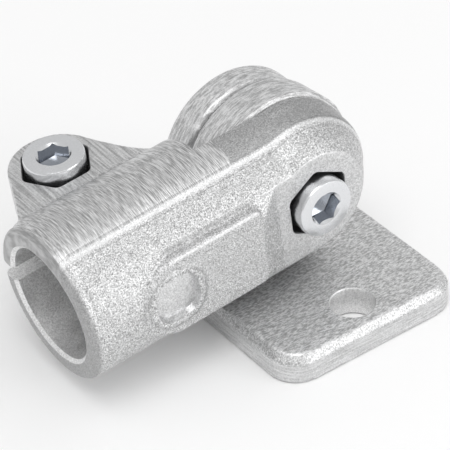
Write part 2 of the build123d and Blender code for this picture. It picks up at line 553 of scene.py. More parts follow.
class Finish:
    """One material: its nodes, its coordinates and its shader."""

    def __init__(self, name: str, place: Matrix | None = None) -> None:
        """Opens a material.

        Args:
            name: Name of the material.
            place: Where the pattern's own frame sits in the row frame, in millimetres.
        """
        self.material = bpy.data.materials.new(name)
        self.material.use_nodes = True
        self.nodes = Nodes(self.material.node_tree)
        self.shader = self.material.node_tree.nodes["Principled BSDF"]
        source = self.nodes.add("ShaderNodeTexCoord").outputs["Object"]
        if place is not None:
            away = place.inverted()
            mapping = self.nodes.add("ShaderNodeMapping", vector_type="POINT")
            mapping.inputs["Location"].default_value = away.to_translation() * MM
            mapping.inputs["Rotation"].default_value = away.to_euler()
            self.nodes.wire(source, mapping.inputs["Vector"])
            source = mapping.outputs["Vector"]
        self.where = source
        parts = self.nodes.add("ShaderNodeSeparateXYZ")
        self.nodes.wire(source, parts.inputs[0])
        self.along, self.across, self.up = parts.outputs

    def shade(self, colour: object, roughness: object, metallic: float = 1.0) -> None:
        """Sets the shader's colour, roughness and metal."""
        self.nodes.feed(self.shader.inputs["Base Color"], colour)
        self.nodes.feed(self.shader.inputs["Roughness"], roughness)
        self.shader.inputs["Metallic"].default_value = metallic

    def strokes(self, effects: Effects, axes: tuple[bpy.types.NodeSocket, ...], across: float,
                along: float) -> bpy.types.NodeOutputs:
        """Places the strokes with its axes in another order.

        Args:
            effects: The shared effects.
            axes: The axis the strokes cross, then the two they follow.
            across: Strokes per metre.
            along: Breaks per metre.

        Returns:
            The effect's outputs.
        """
        packed = self.nodes.add("ShaderNodeCombineXYZ")
        for source, target in zip(axes, packed.inputs):
            self.nodes.wire(source, target)
        return effects.strokes.place(self.nodes, Vector=packed.outputs[0], Across=across, Along=along)

    def relief(self, height: bpy.types.NodeSocket, depth: float) -> None:
        """Bumps the surface.

        Args:
            height: Height between 0 and 1.
            depth: What a height of 1 stands for, in millimetres.
        """
        bump = self.nodes.add("ShaderNodeBump")
        bump.inputs["Strength"].default_value = 1.0
        bump.inputs["Distance"].default_value = depth * MM
        self.nodes.wire(height, bump.inputs["Height"])
        self.nodes.wire(bump.outputs["Normal"], self.shader.inputs["Normal"])


Colour = tuple[float, float, float, float]


def grey(value: float, blue: float = 0.0) -> Colour:
    """A near-neutral metal colour, a little blue or warm."""
    return (value - blue * 0.6, value, value + blue, 1.0)


@dataclass(frozen=True)
class ArmSkin:
    """Skin of the clamp arm: ground crown, blasted front, smooth pad."""

    crown_edge: float = -7.3
    ground_end: float = -15.5
    ear_start: float = 13.6
    recess_centre: float = -37.7
    panel_span: Point = (-38.0, -16.0)
    mouth: float = -58.0
    pad_level: float = -13.4
    pad_left: float = -10.0

    def make(self, effects: Effects) -> bpy.types.Material:
        """Builds the material.

        Args:
            effects: The shared effects.

        Returns:
            The material.
        """
        finish = Finish("arm_skin", ARM_AT_REST)
        nodes = finish.nodes
        zone = effects.zone
        blast = effects.blast.place(nodes, Vector=finish.where, Grain=4000.0, Mottle=230.0)
        strokes = effects.strokes.place(nodes, Vector=finish.where, Across=4800.0, Along=300.0)
        ribs = finish.strokes(effects, (finish.along, finish.across, finish.up), 2000.0, 80.0)
        behind = zone.place(nodes, Value=finish.across, Low=self.crown_edge * MM, High=0.2, Edge=0.0002)["Mask"]
        wander = nodes.ramp(blast["Cloud"], 0.0, 1.0, -0.0012, 0.0012)
        left = zone.place(nodes, Value=nodes.maths("ADD", finish.along, wander), Low=-0.2,
                          High=self.ground_end * MM, Edge=0.0003)["Mask"]
        above = zone.place(nodes, Value=finish.up, Low=0.0, High=0.2, Edge=0.002)["Mask"]
        crown = nodes.maths("MULTIPLY", behind, above)
        ground = nodes.maths("MULTIPLY", crown, left)
        ear = zone.place(nodes, Value=finish.across, Low=self.ear_start * MM, High=0.2, Edge=0.0004)["Mask"]
        # Painted shade: the tube's mouth end is darkened in the base colour.
        mouth = zone.place(nodes, Value=finish.along, Low=-0.2, High=(self.mouth + 1.2) * MM, Edge=0.0006)["Mask"]
        flat = zone.place(nodes, Value=finish.across, Low=(self.pad_level - 0.1) * MM,
                          High=(self.pad_level + 0.25) * MM, Edge=0.00006)["Mask"]
        right = zone.place(nodes, Value=finish.along, Low=self.pad_left * MM, High=0.2, Edge=0.0004)["Mask"]
        pad = nodes.maths("MULTIPLY", flat, right)
        # Painted highlight: a bright strip in the base colour along the ridge bevel, for the light the edge catches.
        ridge_highlight = zone.place(nodes, Value=finish.across, Low=(self.crown_edge - 0.75) * MM,
                          High=(self.crown_edge - 0.1) * MM, Edge=0.00025)["Mask"]
        # Painted shade: two thin dark lines either side of the ridge bevel, for the shade in its creases.
        lines = [zone.place(nodes, Value=finish.across, Low=(self.crown_edge + at - 0.1) * MM,
                            High=(self.crown_edge + at + 0.1) * MM, Edge=0.00015)["Mask"] for at in (-1.3, 0.3)]
        ridge_shade_mask = nodes.maths("MULTIPLY", nodes.maths("ADD", *lines), above)
        ridge_highlight = nodes.maths("MULTIPLY", ridge_highlight, above)
        line = nodes.blend(ear, strokes["Line"], nodes.blend(0.6, blast["Shade"], ribs["Line"]))
        height = nodes.blend(ground, blast["Height"], nodes.blend(ear, strokes["Height"], ribs["Height"]))
        calm = nodes.blend(nodes.maths("MULTIPLY", pad, 0.7), height, 0.5)
        finish.relief(calm, 0.1)
        rough = nodes.ramp(blast["Shade"], 0.0, 1.0, 0.24, 1.0)
        rough = nodes.blend(nodes.maths("MULTIPLY", crown, 0.5), rough, 0.28)
        value = nodes.blend(ground, rough, nodes.ramp(line, 0.0, 1.0, 0.34, 0.9))
        # Painted highlight on the ridge bevel.
        value = nodes.blend(nodes.maths("MULTIPLY", ridge_highlight, 0.5), value, 1.0)
        # Painted shade along the ridge creases.
        value = nodes.blend(nodes.maths("MULTIPLY", ridge_shade_mask, 0.4), value, 0.2)
        # Painted shade on the mouth end.
        value = nodes.blend(nodes.maths("MULTIPLY", mouth, 0.6), value, 0.3)
        # Painted shade and painted highlight along the panel's edges and round the recess.
        value = self.paint_panel_edge_light(finish, zone, value)
        value = nodes.blend(nodes.maths("MULTIPLY", pad, 0.5), value, 0.7)
        value = nodes.blend(nodes.maths("MULTIPLY", blast["Cloud"], 0.14), value, 0.5)
        finish.shade(nodes.tint(value, grey(0.0), grey(1.0, 0.004)), nodes.blend(ground, 0.5, 0.4))
        return finish.material


    def paint_panel_edge_light(self, finish: Finish, zone: Effect, value: bpy.types.NodeSocket) -> bpy.types.NodeSocket:
        """Paints shade at the root of the panel's upper edge and round the recess, and paints a highlight on the edge
        itself.

        Args:
            finish: The finish that is being built.
            zone: The soft slab effect.
            value: The metal's value so far.

        Returns:
            The new value.
        """
        nodes = finish.nodes
        front = zone.place(nodes, Value=finish.across, Low=-0.1, High=-9.0 * MM, Edge=0.0003)["Mask"]
        span = zone.place(nodes, Value=finish.along, Low=self.panel_span[0] * MM, High=self.panel_span[1] * MM,
                          Edge=0.0006)["Mask"]
        long_edge = nodes.maths("MULTIPLY", front, span)
        from_recess = nodes.maths("SUBTRACT", finish.along, self.recess_centre * MM)
        square = nodes.maths("ADD", nodes.maths("MULTIPLY", from_recess, from_recess),
                             nodes.maths("MULTIPLY", finish.up, finish.up))
        radius = nodes.maths("SQRT", square)
        root = zone.place(nodes, Value=finish.up, Low=9.6 * MM, High=10.3 * MM, Edge=0.0003)["Mask"]
        crest = zone.place(nodes, Value=finish.up, Low=8.5 * MM, High=9.2 * MM, Edge=0.0003)["Mask"]
        ring = zone.place(nodes, Value=radius, Low=6.75 * MM, High=7.2 * MM, Edge=0.0003)["Mask"]
        # Painted shade at the root of the panel's upper edge.
        value = nodes.blend(nodes.maths("MULTIPLY", nodes.maths("MULTIPLY", root, long_edge), 0.4), value, 0.25)
        # Painted highlight on the panel's upper edge.
        value = nodes.blend(nodes.maths("MULTIPLY", nodes.maths("MULTIPLY", crest, long_edge), 0.45), value, 0.98)
        # Painted shade in a ring round the recess.
        return nodes.blend(nodes.maths("MULTIPLY", nodes.maths("MULTIPLY", ring, front), 0.35), value, 0.2)


@dataclass(frozen=True)
class BaseSkin:
    """Skin of the base: rippled cast top, lined sides, ringed lug."""

    plate_top: float = 6.7
    back_face: float = 16.4

    def make(self, effects: Effects) -> bpy.types.Material:
        """Builds the material.

        Args:
            effects: The shared effects.

        Returns:
            The material.
        """
        finish = Finish("base_skin")
        nodes = finish.nodes
        zone = effects.zone
        blast = effects.blast.place(nodes, Vector=finish.where, Grain=3200.0, Mottle=200.0)
        ripple = finish.strokes(effects, (finish.across, finish.along, finish.up), 3200.0, 1000.0)
        rings = finish.strokes(effects, (finish.across, finish.along, finish.up), 2300.0, 420.0)
        lines = finish.strokes(effects, (finish.up, finish.along, finish.across), 2600.0, 160.0)
        top = zone.place(nodes, Value=finish.up, Low=(self.plate_top - 0.35) * MM, High=(self.plate_top + 2.5) * MM, Edge=0.0002)["Mask"]
        tall = zone.place(nodes, Value=finish.up, Low=(self.plate_top + 2.5) * MM, High=0.2, Edge=0.001)["Mask"]
        rim = zone.place(nodes, Value=finish.across, Low=-0.1, High=self.back_face * MM, Edge=0.0006)["Mask"]
        lug = nodes.maths("MULTIPLY", tall, rim)
        # Painted shade: the groove between the lug's disc and collar is darkened in the base colour.
        groove = zone.place(nodes, Value=finish.across, Low=9.15 * MM, High=10.1 * MM, Edge=0.0002)["Mask"]
        side = zone.place(nodes, Value=finish.up, Low=-0.1, High=(self.plate_top - 2.2) * MM, Edge=0.0003)["Mask"]
        height = nodes.blend(top, blast["Height"], nodes.blend(0.75, blast["Height"], ripple["Height"]))
        height = nodes.blend(lug, height, nodes.blend(0.8, blast["Height"], rings["Height"]))
        height = nodes.blend(side, height, nodes.blend(0.6, blast["Height"], lines["Height"]))
        finish.relief(height, 0.12)
        cast = nodes.ramp(blast["Shade"], 0.0, 1.0, 0.38, 0.92)
        value = nodes.blend(top, cast, nodes.ramp(ripple["Line"], 0.0, 1.0, 0.44, 0.92))
        value = nodes.blend(lug, value, nodes.blend(0.35, nodes.ramp(rings["Line"], 0.0, 1.0, 0.42, 1.0), cast))
        # Painted shade in the lug's groove.
        value = nodes.blend(nodes.maths("MULTIPLY", nodes.maths("MULTIPLY", groove, lug), 0.75), value, 0.25)
        value = nodes.blend(nodes.maths("MULTIPLY", side, 0.6), value, nodes.ramp(lines["Line"], 0.0, 1.0, 0.5, 0.84))
        finish.shade(nodes.tint(value, grey(0.0), grey(1.0, 0.004)), 0.46)
        return finish.material


@dataclass(frozen=True)
class PlainMetal:
    """Even metal with a fine grain, for fasteners and machined walls."""

    name: str
    value: float
    roughness: float
    blue: float = 0.0
    grain: float = 3000.0
    depth: float = 0.02
    swing: float = 0.08

    def make(self, effects: Effects) -> bpy.types.Material:
        """Builds the material.

        Args:
            effects: The shared effects.

        Returns:
            The material.
        """
        finish = Finish(self.name)
        nodes = finish.nodes
        blast = effects.blast.place(nodes, Vector=finish.where, Grain=self.grain, Mottle=400.0)
        finish.relief(blast["Height"], self.depth)
        value = nodes.ramp(blast["Shade"], 0.0, 1.0, 1.0 - self.swing, 1.0)
        finish.shade(nodes.tint(value, grey(0.0), grey(self.value, self.blue)),
                     nodes.ramp(blast["Cloud"], 0.0, 1.0, self.roughness * 0.8, self.roughness * 1.2))
        return finish.material


# ---------------------------------------------------------------- castings


@dataclass
class Pocket:
    """Hexagonal pocket for a screw head or a nut, with a rolled lip."""

    across_flats: float = 13.8
    depth: float = 5.5
    lip: float = 0.4
    corner: float = 0.9

    def cutter(self, name: str, place: Matrix, turn: float) -> bpy.types.Object:
        """Makes the pocket's tool, its floor on the local origin and its mouth upwards.

        Args:
            name: Name of the tool.
            place: Where the pocket's floor sits.
            turn: Turn of the hexagon in degrees, 0 with corners on X.

        Returns:
            The tool.
        """
        shape = bmesh.new()
        radius = self.across_flats / math.sqrt(3)
        straight = self.depth - self.lip
        spin = CORNER_ON_X @ Matrix.Rotation(math.radians(turn), 4, "Z")
        bmesh.ops.create_cone(shape, cap_ends=True, segments=6, radius1=radius, radius2=radius, depth=straight,
                              matrix=spin @ Matrix.Translation((0, 0, straight / 2)))
        uprights = [edge for edge in shape.edges if abs(edge.verts[0].co.z - edge.verts[1].co.z) > 1]
        bmesh.ops.bevel(shape, geom=uprights, offset=self.corner, offset_type="OFFSET", segments=4,
                        profile=0.5, affect="EDGES", material=-1)
        mouth = max(shape.faces, key=lambda face: face.calc_center_median().z)
        for rise, spread in ((0.5, 0.15), (0.5, 0.5), (3.0, 4.5)):
            mouth = self.lift(shape, mouth, rise * self.lip, spread * self.lip)
        return Bench.solid(name, shape, place)

    @staticmethod
    def lift(shape: bmesh.types.BMesh, mouth: bmesh.types.BMFace, rise: float, spread: float) -> bmesh.types.BMFace:
        """Raises the tool's mouth by one step and opens it a little.

        Args:
            shape: The tool's bmesh.
            mouth: Its upper face.
            rise: Height of the step.
            spread: How far the new ring opens.

        Returns:
            The new upper face.
        """
        raised = bmesh.ops.extrude_face_region(shape, geom=[mouth])["geom"]
        bmesh.ops.delete(shape, geom=[mouth], context="FACES_ONLY")
        lifted = next(item for item in raised if isinstance(item, bmesh.types.BMFace))
        for vert in lifted.verts:
            vert.co += Vector((vert.co.x, vert.co.y, 0)).normalized() * spread + Vector((0, 0, rise))
        return lifted


@dataclass
class ClampArm:
    """Clamp arm casting: split tube socket, crown, knuckle and clamp ear, in its own frame."""

    front_radius: float = 16.97
    front_drop: float = 0.3
    keel_radius: float = 17.72
    keel_left: float = -31.2
    dome_radius: float = 17.62
    crown_radius: float = 17.42
    crown_edge: float = -7.2
    mouth: float = -58.0
    lip_radius: float = 16.95
    lip_round: float = 1.6
    lip_length: float = 2.1
    collar_radius: float = 17.55
    collar_width: float = 2.5
    bore_radius: float = 12.5
    bore_depth: float = 35.0
    slit_half: float = 1.8
    slit_end: float = -24.0
    yoke_end: float = -19.2
    hinge_gap: float = 0.1
    bolt_radius: float = 4.05
    ear_centre: Point = (-38.6, 23.0)
    ear_nose: float = 10.05
    ear_half: float = 11.7
    pad_level: float = -13.4
    pad_left: float = -10.0
    panel_level: float = -16.3
    panel_half: float = 9.4
    panel_span: Point = (-36.6, -15.6)
    dimple_centre: float = -37.7
    dimple_half: float = 5.5
    dimple_depth: float = 1.3
    dimple_rim: float = 0.4
    grid: float = 0.38

    def bar(self, name: str, radius: float) -> bpy.types.Object:
        """Round bar from the mouth's lip to the domed knuckle.

        Args:
            name: Name of the solid.
            radius: Radius of bar and dome.

        Returns:
            The bar.
        """
        edge, lip, turn = self.mouth, self.lip_radius, self.lip_round
        profile = [(edge, 0.0)] + [(x, y) for x, y in arc((edge + turn, lip - turn), turn, 180, 90, 6)]
        profile += [(edge + self.lip_length, lip - 0.35), (edge + self.lip_length + 0.7, radius)]
        profile += arc((0.0, 0.0), radius, 90, 0, 30)
        return Bench.turned(name, profile, ALONG_U)

    def crown(self) -> bpy.types.Object:
        """Raised crown behind the ridge line on the upper tube."""
        edge, top = self.crown_edge, math.sqrt(self.crown_radius ** 2 - self.crown_edge ** 2)
        bevel = (edge - 2.0, top - 3.2)
        section = [(edge, FAR), (edge, top), bevel, (edge - 2.0, 1.0), (FAR, 1.0), (FAR, FAR)]
        slab = Bench.prism("slab", section, 0, FAR, Matrix(((0, 0, -1, 0), (1, 0, 0, 0), (0, 1, 0, 0), (0, 0, 0, 1))))
        return Bench.work(self.bar("crown", self.crown_radius), slab, Cut.COMMON)

    def knuckle(self) -> bpy.types.Object:
        """Round end about the pivot: seam collar, barrel side, ridge and domed front."""
        reach, rim, dome = self.collar_width, self.collar_radius, self.dome_radius
        low = math.degrees(math.asin(9.1 / dome))
        profile = [(-dome * math.sin(math.radians(90 - (90 - low) * i / 24)),
                    dome * math.cos(math.radians(90 - (90 - low) * i / 24))) for i in range(25)]
        profile += [(-7.35, 16.6), (-6.2, 16.95), (-4.9, 17.12), (-reach - 0.5, 17.22), (-reach, 17.3),
                    (-reach + 0.15, rim - 0.1), (-reach + 0.4, rim), (0.4, rim), (0.4, 0.0)]
        return Bench.turned("knuckle", profile, ALONG_V)

    def keel(self) -> bpy.types.Object:
        """Fuller lower front of the body, from the panel to the knuckle."""
        left, full = self.keel_left, self.keel_radius
        round_bar = Bench.turned("keel", [(left, 0.0), (left, full - 0.5), (left + 0.6, full), (0.0, full), (0.0, 0.0)],
                                 ALONG_U)
        return Bench.work(round_bar, Bench.block("lower", (-FAR, self.panel_level, -FAR), (1.0, -8.0, -3.0)), Cut.COMMON)

    def ear(self) -> bpy.types.Object:
        """Clamp ear with its flared roots."""
        nose = arc(self.ear_centre, self.ear_nose, 26, 157, 28)
        left = bow(nose[-1], (-50.1, 20.4), (-55.0, 11.6))
        right = bow((-19.4, 11.4), (-24.0, 14.2), nose[0])
        outline = right + nose[1:-1] + left + [(-55.0, 0.0), (-19.4, 0.0)]
        return Bench.prism("ear", outline, -self.ear_half, self.ear_half)

    def panel_outline(self) -> list[Point]:
        """Outline of the raised panel in (u, w)."""
        left, right = self.panel_span
        rounded = arc((left, 0), self.panel_half, 90, 270, 24)
        corner = 1.5
        low = arc((right - corner, -self.panel_half + corner), corner, -90, 0, 5)
        high = arc((right - corner, self.panel_half - corner), corner, 0, 90, 5)
        return rounded + low + high

    def blank(self) -> bpy.types.Object:
        """Casting before machining, with soft edges."""
        facing = Matrix.Rotation(math.radians(90), 4, "X")
        front = self.bar("front", self.front_radius)
        front.data.transform(Matrix.Translation((0, 0, -self.front_drop)))
        outline = self.panel_outline()
        Bench.work(front, Bench.prism("clear", outline, -self.panel_level, FAR, facing), Cut.REMOVE)
        panel = Bench.prism("panel", outline, 6.0, -self.panel_level, facing)
        half = self.dimple_half + 0.9
        corners = [point for k, (x, y) in enumerate(((1, 1), (-1, 1), (-1, -1), (1, -1)))
                   for point in arc((self.dimple_centre + x * (half - 4.6), y * (half - 4.6)), 4.6, 90 * k, 90 * k + 90, 8)]
        rim = Bench.prism("rim", corners, 6.0, self.dimple_rim - self.panel_level, facing)
        arm = Bench.merge("arm", [front, self.crown(), self.knuckle(), self.keel(), panel, rim, self.ear()])
        Bench.soften(arm, self.grid, 2)
        run_out = self.pad_left - 6.0 * (FAR + self.pad_level) / 3.0
        neck = [(self.pad_left, self.pad_level), (FAR, self.pad_level), (FAR, -FAR), (run_out, -FAR)]
        Bench.work(arm, Bench.prism("neck", neck, -FAR, FAR), Cut.REMOVE)
        Bench.soften(arm, self.grid, 2)
        Bench.roughen(arm, "cast_hollows", 2.6, 0.12)
        return arm

    def dimple(self, recess: bpy.types.Material) -> bpy.types.Object:
        """Makes the tool for the blind recess in the panel, with a low faceted rise on its floor.

        Args:
            recess: Material of the recess.

        Returns:
            The tool.
        """
        shape = bmesh.new()
        half, depth = self.dimple_half, self.dimple_depth
        bmesh.ops.create_cube(shape, size=2, matrix=Matrix.Diagonal((half, half, 1.0, 1)))
        uprights = [edge for edge in shape.edges if abs(edge.verts[0].co.z - edge.verts[1].co.z) > 1]
        bmesh.ops.bevel(shape, geom=uprights, offset=3.9, offset_type="OFFSET", segments=8,
                        profile=0.5, affect="EDGES", material=-1)
        floor = min(shape.faces, key=lambda face: face.calc_center_median().z)
        for vert in floor.verts:
            vert.co = Vector((vert.co.x * 0.86, vert.co.y * 0.86, -depth))
        peak = bmesh.ops.poke(shape, faces=[floor])["verts"][0]
        peak.co = Vector((-1.2, 1.3, -depth + 1.15))
        place = Matrix.Translation((self.dimple_centre, self.panel_level - self.dimple_rim, 0)) @ Matrix.Rotation(math.radians(90), 4, "X")
        tool = Bench.solid("dimple", shape, place)
        tool.data.materials.append(recess)
        return tool

    def machine(self, arm: bpy.types.Object, bored: bpy.types.Material, pocket_shade: bpy.types.Material) -> None:
        """Cuts the crisp features: bore, slit, parting faces, bolt holes and pockets.

        Args:
            arm: The softened blank.
            bored: Material of the cut walls.
            pocket_shade: Material of the pockets.
        """
        end = self.mouth + self.bore_depth
        bore = Bench.turned("bore", [(self.mouth - 1.0, 0.0), (self.mouth - 1.0, self.bore_radius + 1.9),
                                     (self.mouth + 0.75, self.bore_radius), (end, self.bore_radius),
                                     (end + 2.0, 0.0)], ALONG_U)
        slit = Bench.block("slit", (self.mouth - 1, 0.0, -self.slit_half), (self.slit_end, FAR, self.slit_half))
        yoke = Bench.block("yoke", (self.yoke_end, -self.hinge_gap, -FAR), (FAR, FAR, FAR))
        hole = Bench.turned("hole", [(-FAR, 0.0), (-FAR, self.bolt_radius), (FAR, self.bolt_radius), (FAR, 0.0)],
                            ALONG_V, 48)
        ear_hole = Bench.turned("ear_hole", [(-FAR, 0.0), (-FAR, self.bolt_radius), (FAR, self.bolt_radius), (FAR, 0.0)],
                                Matrix.Translation((*self.ear_centre, 0)), 48)
        pocket = Pocket()
        seat = self.pad_level + pocket.depth
        facing = Matrix.Translation((0, seat, 0)) @ Matrix.Rotation(math.radians(90), 4, "X")
        level = self.ear_half - pocket.depth
        above = Matrix.Translation((*self.ear_centre, level))
        below = Matrix.Translation((*self.ear_centre, -level)) @ Matrix.Rotation(math.pi, 4, "X")
        tools = [bore, slit, yoke, hole, ear_hole, pocket.cutter("head_pocket", facing, 30),
                 pocket.cutter("screw_pocket", above, 0), pocket.cutter("nut_pocket", below, 0)]
        # The pockets get the dark painted-shade material, the other cuts the bored wall.
        for tool in tools:
            tool.data.materials.append(pocket_shade if "pocket" in tool.name else bored)
            Bench.work(arm, tool, Cut.REMOVE)

    def build(self, skin: bpy.types.Material, bored: bpy.types.Material,
              pocket_shade: bpy.types.Material, recess: bpy.types.Material) -> bpy.types.Object:
        """Builds and dresses the arm.

        Args:
            skin: Material of the cast skin.
            bored: Material of the cut walls.
            pocket_shade: Material of the pockets.
            recess: Material of the recess in the panel.

        Returns:
            The finished piece.
        """
        arm = self.blank()
        arm.data.materials.clear()
        arm.data.materials.append(skin)
        Bench.work(arm, self.dimple(recess), Cut.REMOVE)
        self.machine(arm, bored, pocket_shade)
        return Bench.finish(arm, "arm_casting", ARM_AT_REST, 25.0)


@dataclass
class BaseCasting:
    """Base casting: bevelled plate and pivot lug."""

    length: float = 45.0
    width: float = 64.0
    thickness: float = 6.7
    corner: float = 6.5
    bevel_in: float = 1.2
    bevel_up: float = 1.9
    hole_radius: float = 4.7
    hole_offset: float = 24.0
    collar_radius: float = 18.43
    collar_back: float = 17.8
    collar_width: float = 9.0
    groove: float = 16.35
    disc_radius: float = 17.3
    disc_shift: Point = (-0.45, 0.0)
    back: float = 17.5
    back_round: float = 1.6
    foot_half: float = 15.6
    collar_foot: float = 16.8
    bolt_radius: float = 4.05
    grid: float = 0.4

    def plate(self) -> bpy.types.Object:
        """Plate with rounded corners, a bevelled upper edge and a broken lower one."""
        shape = bmesh.new()
        shoulder = self.thickness - self.bevel_up
        bmesh.ops.create_cube(shape, size=1, matrix=Matrix.Translation((0, 0, shoulder / 2))
                              @ Matrix.Diagonal((self.length, self.width, shoulder, 1)))
        uprights = [edge for edge in shape.edges if abs(edge.verts[0].co.z - edge.verts[1].co.z) > 1]
        bmesh.ops.bevel(shape, geom=uprights, offset=self.corner, offset_type="OFFSET", segments=10,
                        profile=0.5, affect="EDGES", material=-1)
        top = max(shape.faces, key=lambda face: face.calc_center_median().z)
        raised = bmesh.ops.extrude_face_region(shape, geom=[top])["geom"]
        bmesh.ops.delete(shape, geom=[top], context="FACES_ONLY")
        inward = ((self.length / 2 - self.bevel_in) / (self.length / 2), (self.width / 2 - self.bevel_in) / (self.width / 2))
        for vert in [item for item in raised if isinstance(item, bmesh.types.BMVert)]:
            vert.co = Vector((vert.co.x * inward[0], vert.co.y * inward[1], self.thickness))
        return Bench.solid("plate", shape)

    def leg(self, top_half: float, foot_half: float, low: float, high: float) -> bpy.types.Object:
        """Tapered leg from the pivot down into the plate.

        Args:
            top_half: Half width at the pivot.
            foot_half: Half width at the floor.
            low: Nearer Y station.
            high: Farther Y station.

        Returns:
            The leg.
        """
        outline = [(-foot_half, 1.0), (foot_half, 1.0), (top_half, PIVOT_HEIGHT), (-top_half, PIVOT_HEIGHT)]
        return Bench.prism("leg", outline, -high, -low, Matrix.Rotation(math.radians(90), 4, "X"))

    def lug(self) -> list[bpy.types.Object]:
        """Collar, disc, legs, back fillet and casting pips of the lug."""
        pivot = Matrix.Translation((0, 0, PIVOT_HEIGHT)) @ ALONG_V
        rim, edge, wide = self.collar_radius, self.collar_back, self.collar_width
        collar = Bench.turned("collar", [(-0.6, 0.0), (-0.6, rim - 0.1), (0.6, rim), (wide - 0.5, edge),
                                         (wide, edge - 0.4), (wide + 0.3, self.groove), (wide + 0.3, 0.0)], pivot)
        off_centre = Matrix.Translation((self.disc_shift[0], 0, self.disc_shift[1])) @ pivot
        disc = Bench.turned("disc", [(2.0, 0.0), (2.0, self.groove), (wide + 0.8, self.groove), (wide + 1.5, self.disc_radius),
                                     (self.back - self.back_round, self.disc_radius),
                                     (self.back - 0.5, self.disc_radius - 0.5),
                                     (self.back, self.disc_radius - self.back_round), (self.back, 0.0)], off_centre)
        legs = [self.leg(edge, self.collar_foot, -0.6, wide),
                self.leg(self.disc_radius - 0.5, self.foot_half, 2.0, self.back)]
        foot = [(16.0, 3.0), (16.0, 9.4), (self.back, 8.7), *bow((self.back, 8.7), (17.7, 7.1), (18.9, 6.6)), (18.9, 3.0)]
        upright = Matrix(((0, 0, 1, 0), (1, 0, 0, 0), (0, 1, 0, 0), (0, 0, 0, 1)))
        fillet = Bench.prism("fillet", foot, -self.foot_half + 0.6, self.foot_half - 0.6, upright)
        pips = []
        for turn in (-64, -48, -34):
            spot = (self.groove * math.sin(math.radians(turn)) - 0.45, wide + 0.8,
                    PIVOT_HEIGHT + self.groove * math.cos(math.radians(turn)))
            shape = bmesh.new()
            bmesh.ops.create_icosphere(shape, subdivisions=3, radius=0.55, matrix=Matrix.Translation(spot))
            pips.append(Bench.solid("pip", shape))
        return [collar, disc, *legs, fillet, *pips]

    def machine(self, base: bpy.types.Object, bored: bpy.types.Material, pocket_shade: bpy.types.Material) -> None:
        """Cuts the parting face, pivot hole, nut pocket and fixing holes.

        Args:
            base: The softened blank.
            bored: Material of the cut walls.
            pocket_shade: Material of the pockets.
        """
        clear = Bench.block("clear", (-FAR, -20.0, self.thickness + 0.6), (FAR, 0.0, FAR))
        under = Bench.block("under", (-FAR, -FAR, -1.0), (FAR, FAR, 0.005))
        seam = Bench.turned("seam", [(-0.2, self.collar_radius + 1.0), (-0.2, self.collar_radius - 0.9),
                                     (0.65, self.collar_radius + 0.1), (0.65, self.collar_radius + 1.0),
                                     (-0.2, self.collar_radius + 1.0)], Matrix.Translation((0, 0, PIVOT_HEIGHT)) @ ALONG_V)
        pivot = Matrix.Translation((0, 0, PIVOT_HEIGHT)) @ ALONG_V
        hole = Bench.turned("hole", [(-FAR, 0.0), (-FAR, self.bolt_radius), (FAR, self.bolt_radius), (FAR, 0.0)], pivot, 48)
        pocket = Pocket()
        seat = Matrix.Translation((0, self.back - pocket.depth, PIVOT_HEIGHT)) @ ALONG_V
        Bench.work(base, seam, Cut.REMOVE)
        tools = [under, clear, hole, pocket.cutter("nut_pocket", seat, 30)]
        for side in (-1, 1):
            rim = self.hole_radius
            profile = [(-1.0, 0.0), (-1.0, rim + 0.9), (0.3, rim - 0.1), (self.thickness - 0.45, rim - 0.05),
                       (self.thickness - 0.1, rim + 0.12), (self.thickness + 0.2, rim + 0.45),
                       (self.thickness + 0.6, rim + 0.45), (self.thickness + 0.6, 0.0)]
            tools.append(Bench.turned("fixing_hole", profile, Matrix.Translation((0, side * self.hole_offset, 0)), 72))
        # The pockets get the dark painted-shade material, the other cuts the bored wall.
        for tool in tools:
            tool.data.materials.append(pocket_shade if "pocket" in tool.name else bored)
            Bench.work(base, tool, Cut.REMOVE)

    def build(self, skin: bpy.types.Material, bored: bpy.types.Material,
              pocket_shade: bpy.types.Material) -> bpy.types.Object:
        """Builds and dresses the base.

        Args:
            skin: Material of the cast skin.
            bored: Material of the cut walls.
            pocket_shade: Material of the pockets.

        Returns:
            The finished piece.
        """
        base = Bench.merge("base", [self.plate(), *self.lug()])
        Bench.soften(base, self.grid, 4)
        Bench.roughen(base, "base_hollows", 2.6, 0.1)
        base.data.materials.clear()
        base.data.materials.append(skin)
        self.machine(base, bored, pocket_shade)
        return Bench.finish(base, "base_casting", Matrix.Identity(4))


# ---------------------------------------------------------------- fasteners


